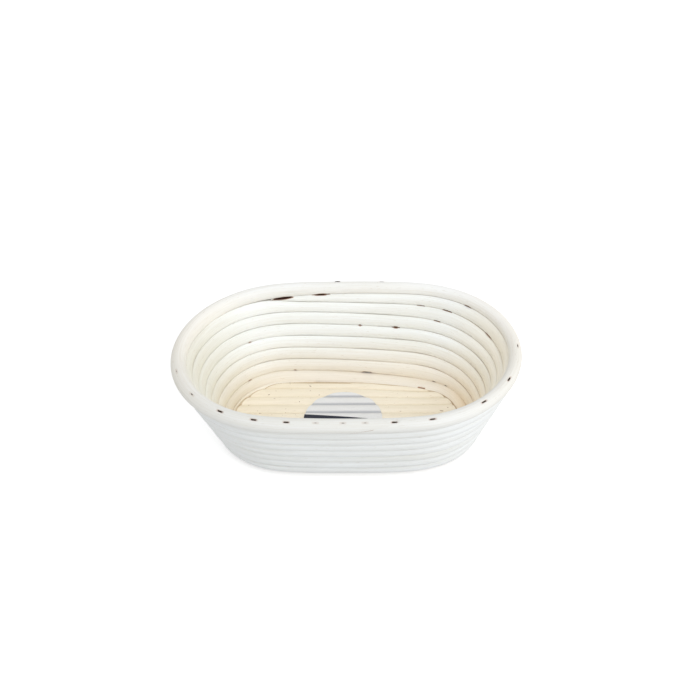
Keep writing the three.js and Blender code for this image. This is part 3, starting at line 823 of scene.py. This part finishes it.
def rattan_core(name, outside, inside_high, inside_low, flecks):
    """Rattan in three tones: the outside, and the inside high on the wall and low in it."""
    finish, tree = new_finish(name)
    grain = add(tree, "ShaderNodeAttribute", {"attribute_name": "grain"}).outputs["Vector"]
    mark = {}
    for word in ("inside", "groove", "slit", "painted_end_shade"):
        mark[word] = add(tree, "ShaderNodeAttribute", {"attribute_name": word}).outputs["Fac"]
    streak = {}
    for word, (width, length), detail in (
        ("fibre", FIBRE_SIZE, 3.0), ("pore", PORE_SIZE, 1.0),
        ("tone", TONE_SIZE, 2.0), ("fleck", FLECK_SIZE, 0.0),
    ):
        scale = (1 / width, 1 / width, 1 / length)
        stretched = add(tree, "ShaderNodeMapping", {"Scale": scale}, {"Vector": grain})
        streak[word] = add(tree, "ShaderNodeTexNoise",
                           {"Scale": 1.0, "Detail": detail, "Roughness": 0.6},
                           {"Vector": stretched.outputs["Vector"]}).outputs["Fac"]
    spot = add(tree, "ShaderNodeTexCoord").outputs["Object"]
    height = add(tree, "ShaderNodeSeparateXYZ", None, {"Vector": spot}).outputs["Z"]
    high = add(tree, "ShaderNodeMapRange", {"From Min": WARM_HEIGHT, "From Max": PALE_HEIGHT},
               {"Value": height})
    # Painted light: the one rattan takes a paler tone where the inside mark is high and a greyer, cooler
    # one elsewhere, as lit and shaded copies; low on the inner wall its tone is warmer.
    inner = add(tree, "ShaderNodeMix",
                {"data_type": "RGBA", 6: screen_colour(inside_low), 7: screen_colour(inside_high)},
                {0: high.outputs["Result"]})
    within = add(tree, "ShaderNodeMapRange", {"From Min": 0.35, "From Max": 0.75},
                 {"Value": mark["inside"]})
    colour = add(tree, "ShaderNodeMix", {"data_type": "RGBA", 6: screen_colour(outside)},
                 {0: within.outputs["Result"], 7: inner.outputs[2]}).outputs[2]
    # Each tint: what it follows, where it begins and is full, how strong it gets, and its colour
    for value, low, top, most, tint in (
        (streak["fibre"], 0.45, 0.75, 0.6, "#f0ece4"),
        (streak["tone"], 0.4, 0.75, 0.6, "#f4f2ec"),
        (streak["pore"], 0.68, 0.78, 0.35, "#b59a6c"),
        (streak["fleck"], 0.81, 0.84, flecks, "#8a5f3c"),
        # Painted shade at the ends: warmer towards the right end of the wall and on the rim's ends,
        # darker towards the left.
        (mark["painted_end_shade"], 0.2, 1.0, 1.0, "#fff6e7"),
        (mark["painted_end_shade"], -0.2, -1.0, 1.0, "#ece8dd"),
        # Painted shade: a brown tint in the grooves, beside the base and on the rim's lower side.
        (mark["groove"], 0.92, 1.12, 1.0, "#bfa887"),
        # Painted shade in the open slits and staple slots, darker towards their middle; the same mark
        # draws the dark joint of the rim's scarf.
        (mark["slit"], 0.0, 0.4, 1.0, "#b98f76"),
        (mark["slit"], 0.3, 0.9, 1.0, "#4a2c24"),
    ):
        share = add(tree, "ShaderNodeMapRange",
                    {"From Min": low, "From Max": top, "To Max": most}, {"Value": value})
        colour = add(tree, "ShaderNodeMix",
                     {"data_type": "RGBA", "blend_type": "MULTIPLY", 7: screen_colour(tint)},
                     {0: share.outputs["Result"], 6: colour}).outputs[2]
    open_pores = add(tree, "ShaderNodeMapRange",
                     {"From Min": 0.68, "From Max": 0.78, "To Max": 0.35}, {"Value": streak["pore"]})
    relief = add(tree, "ShaderNodeMath", {"operation": "SUBTRACT"},
                 {0: streak["fibre"], 1: open_pores.outputs["Result"]})
    bump = add(tree, "ShaderNodeBump", {"Strength": 0.35, "Distance": FIBRE_RELIEF},
               {"Height": relief.outputs["Value"]})
    rough = add(tree, "ShaderNodeMapRange", {"To Min": 0.55, "To Max": 0.75}, {"Value": streak["fibre"]})
    surface = add(tree, "ShaderNodeBsdfPrincipled", {"IOR": 1.5, "Specular IOR Level": 0.3},
                  {"Base Color": colour, "Roughness": rough.outputs["Result"],
                   "Normal": bump.outputs["Normal"]})
    add(tree, "ShaderNodeOutputMaterial", None, {"Surface": surface.outputs["BSDF"]})
    return finish


# Each cane's outside and inside tones are painted light on one rattan; on the rim the inside tone goes
# on its back half.
rim_finish = rattan_core("rattan_core_sanded_rim", "#ebecea", "#f8f9f8", "#f8f9f8", 0.0)
wall_finish = rattan_core("rattan_core_sanded_wall", "#f1f4f5", "#fcffff", "#f9f2e6", 0.0)
base_finish = rattan_core("rattan_core_sanded_base", "#f0eee8", "#fdf4e2", "#fdf4e2", 0.8)
rim_piece.data.materials.append(rim_finish)
wall_piece.data.materials.append(wall_finish)
for piece in base_pieces:
    piece.data.materials.append(base_finish)
print("rattan finishes:", rim_finish.name, wall_finish.name, base_finish.name)

# %% [markdown]
# ## Staple wire
# Staples are drawn steel wire that has darkened in damp flour and dough. To the eye they are
# dark brown-grey dashes with a dull shine along the wire and patches of rust.

# %% Drawn and darkened steel wire
RUST_PATCH = 1.5 * MM


def staple_wire():
    """Dark metal that is rougher and browner in the patches of rust."""
    finish, tree = new_finish("steel_wire_drawn_darkened")
    spot = add(tree, "ShaderNodeTexCoord").outputs["Object"]
    rust = add(tree, "ShaderNodeTexNoise", {"Scale": 1 / RUST_PATCH, "Detail": 3.0},
               {"Vector": spot}).outputs["Fac"]
    share = add(tree, "ShaderNodeMapRange", {"From Min": 0.45, "From Max": 0.65},
                {"Value": rust}).outputs["Result"]
    colour = add(tree, "ShaderNodeMix",
                 {"data_type": "RGBA", 6: screen_colour("#4a423b"), 7: screen_colour("#3d2a20")},
                 {0: share}).outputs[2]
    rough = add(tree, "ShaderNodeMapRange", {"To Min": 0.4, "To Max": 0.7},
                {"Value": rust}).outputs["Result"]
    surface = add(tree, "ShaderNodeBsdfPrincipled", {"Metallic": 0.85},
                  {"Base Color": colour, "Roughness": rough})
    add(tree, "ShaderNodeOutputMaterial", None, {"Surface": surface.outputs["BSDF"]})
    return finish


wire_finish = staple_wire()
for piece in rim_staples + base_staples:
    piece.data.materials.append(wire_finish)
print("wire finish on", len(rim_staples) + len(base_staples), "staples")

# %% [markdown]
# ## Label paper
# The label is coated paper, printed in two plain tones: a pale grey field and a dark blue
# block on the half towards the front. To the eye it is smooth and a little shiny, with soft
# mottling from the pulp, and a grey tint in each groove is painted shade where the paper sinks.
# The label was stuck on a little turned, so the straight edge of the block slopes.

# %% Coated and printed paper
PULP_MOTTLE = 1.2 * MM
BLOCK_EDGE = 0.9 * MM
BLOCK_SLOPE = 0.09
PULP_RELIEF = 0.05 * MM


def label_paper():
    """Pale paper with creases, and the dark block in front of its edge."""
    finish, tree = new_finish("paper_coated_two_tone")
    spot = add(tree, "ShaderNodeTexCoord").outputs["Object"]
    pulp = add(tree, "ShaderNodeTexNoise", {"Scale": 1 / PULP_MOTTLE, "Detail": 4.0},
               {"Vector": spot}).outputs["Fac"]
    place = add(tree, "ShaderNodeSeparateXYZ", None, {"Vector": spot})
    across = add(tree, "ShaderNodeMath", {"operation": "MULTIPLY_ADD", 1: BLOCK_SLOPE},
                 {0: place.outputs["X"], 2: place.outputs["Y"]}).outputs["Value"]
    block = add(tree, "ShaderNodeMath", {"operation": "LESS_THAN", 1: BLOCK_EDGE},
                {0: across}).outputs["Value"]
    field = add(tree, "ShaderNodeMix",
                {"data_type": "RGBA", 6: screen_colour("#efefef"), 7: screen_colour("#e4e5e6")},
                {0: pulp}).outputs[2]
    # Painted shade: the paper turns grey where it sinks into each groove.
    sunk = add(tree, "ShaderNodeAttribute", {"attribute_name": "groove"}).outputs["Fac"]
    groove_shade = add(tree, "ShaderNodeMapRange", {"From Min": 0.65}, {"Value": sunk}).outputs["Result"]
    field = add(tree, "ShaderNodeMix",
                {"data_type": "RGBA", "blend_type": "MULTIPLY", 7: screen_colour("#c6c7cd")},
                {0: groove_shade, 6: field}).outputs[2]
    colour = add(tree, "ShaderNodeMix", {"data_type": "RGBA", 7: screen_colour("#10152a")},
                 {0: block, 6: field}).outputs[2]
    bump = add(tree, "ShaderNodeBump", {"Strength": 0.1, "Distance": PULP_RELIEF}, {"Height": pulp})
    surface = add(tree, "ShaderNodeBsdfPrincipled", {"Roughness": 0.45, "IOR": 1.5},
                  {"Base Color": colour, "Normal": bump.outputs["Normal"]})
    add(tree, "ShaderNodeOutputMaterial", None, {"Surface": surface.outputs["BSDF"]})
    return finish


label_piece.data.materials.append(label_paper())
print("label finish:", label_piece.data.materials[0].name)

# %% [markdown]
# ## Floor, backdrop and light
# The picture was taken on white. A white floor that only the camera sees brighter keeps the
# basket's soft shadow without putting more light on the cane. The world is white to the
# camera and dimmer as a light. One large soft lamp stands high in front, to the right, and a
# weaker one stands low at the right end.

# %% White floor and world
FLOOR_HALF = 3.0
FLOOR_DROP = 0.3 * MM
FLOOR_GLOW = 0.5
FLOOR_GREY = 0.75
WORLD_LIGHT = 0.77


def seen_by_eye(tree):
    """One where the camera looks, straight on, by reflection or through glass, and else zero."""
    path = add(tree, "ShaderNodeLightPath")
    seen = path.outputs["Is Camera Ray"]
    for ray in ("Is Glossy Ray", "Is Transmission Ray"):
        seen = add(tree, "ShaderNodeMath", {"operation": "MAXIMUM"},
                   {0: seen, 1: path.outputs[ray]}).outputs["Value"]
    return seen


def white_floor():
    """A matt white floor just under the basket, brighter to the eye than as a light."""
    mesh = bpy.data.meshes.new("studio_floor")
    signs = [(-1, -1), (1, -1), (1, 1), (-1, 1)]
    corners = [(x * FLOOR_HALF, y * FLOOR_HALF, -FLOOR_DROP) for x, y in signs]
    mesh.from_pydata(corners, [], [(0, 1, 2, 3)])
    floor = bpy.data.objects.new("studio_floor", mesh)
    bpy.context.collection.objects.link(floor)
    finish, tree = new_finish("floor_white_paper_sweep")
    glow = add(tree, "ShaderNodeMath", {"operation": "MULTIPLY", 1: FLOOR_GLOW},
               {0: seen_by_eye(tree)}).outputs["Value"]
    matt = add(tree, "ShaderNodeBsdfDiffuse", {"Color": (FLOOR_GREY, FLOOR_GREY, FLOOR_GREY, 1)})
    light = add(tree, "ShaderNodeEmission", None, {"Strength": glow})
    both = add(tree, "ShaderNodeAddShader", None, {0: matt.outputs[0], 1: light.outputs[0]})
    add(tree, "ShaderNodeOutputMaterial", None, {"Surface": both.outputs[0]})
    mesh.materials.append(finish)
    return floor


def white_world(strength):
    """A world that the eye sees as white and that lights the basket with a strength."""
    world = bpy.data.worlds.new("white_studio")
    bpy.context.scene.world = world
    world.use_nodes = True
    tree = world.node_tree
    tree.nodes.clear()
    level = add(tree, "ShaderNodeMapRange", {"To Min": strength, "To Max": 1.0},
                {"Value": seen_by_eye(tree)}).outputs["Result"]
    sky = add(tree, "ShaderNodeBackground", {"Color": (1, 1, 1, 1)}, {"Strength": level})
    add(tree, "ShaderNodeOutputWorld", None, {"Surface": sky.outputs[0]})
    return world


floor = white_floor()
world = white_world(WORLD_LIGHT)
print("ready:", floor.name, world.name)

# %% Lamps


def soft_lamp(name, place, aim, size, watts, colour):
    """A round lamp at a place in metres, turned to the point it aims at."""
    data = bpy.data.lights.new(name, "AREA")
    data.shape = "DISK"
    data.size = size
    data.energy = watts
    data.color = screen_colour(colour)[:3]
    lamp = bpy.data.objects.new(name, data)
    bpy.context.collection.objects.link(lamp)
    lamp.location = place
    lamp.rotation_euler = (Vector(aim) - Vector(place)).to_track_quat("-Z", "Y").to_euler()
    return lamp


key = soft_lamp("key_lamp", (0.6, -1.0, 1.2), (0, 0, 0.03), 0.9, 7.5, "#ffffff")
side = soft_lamp("side_lamp", (1.4, -0.3, 0.42), (0, 0, 0.04), 0.7, 3.0, "#ffffff")
print("lamps:", key.name, side.name)

# %% [markdown]
# ## Finish
# Colours are shown as they are, with the plain view transform.

# %% Show the colours as they are
bpy.context.scene.view_settings.view_transform = "Standard"
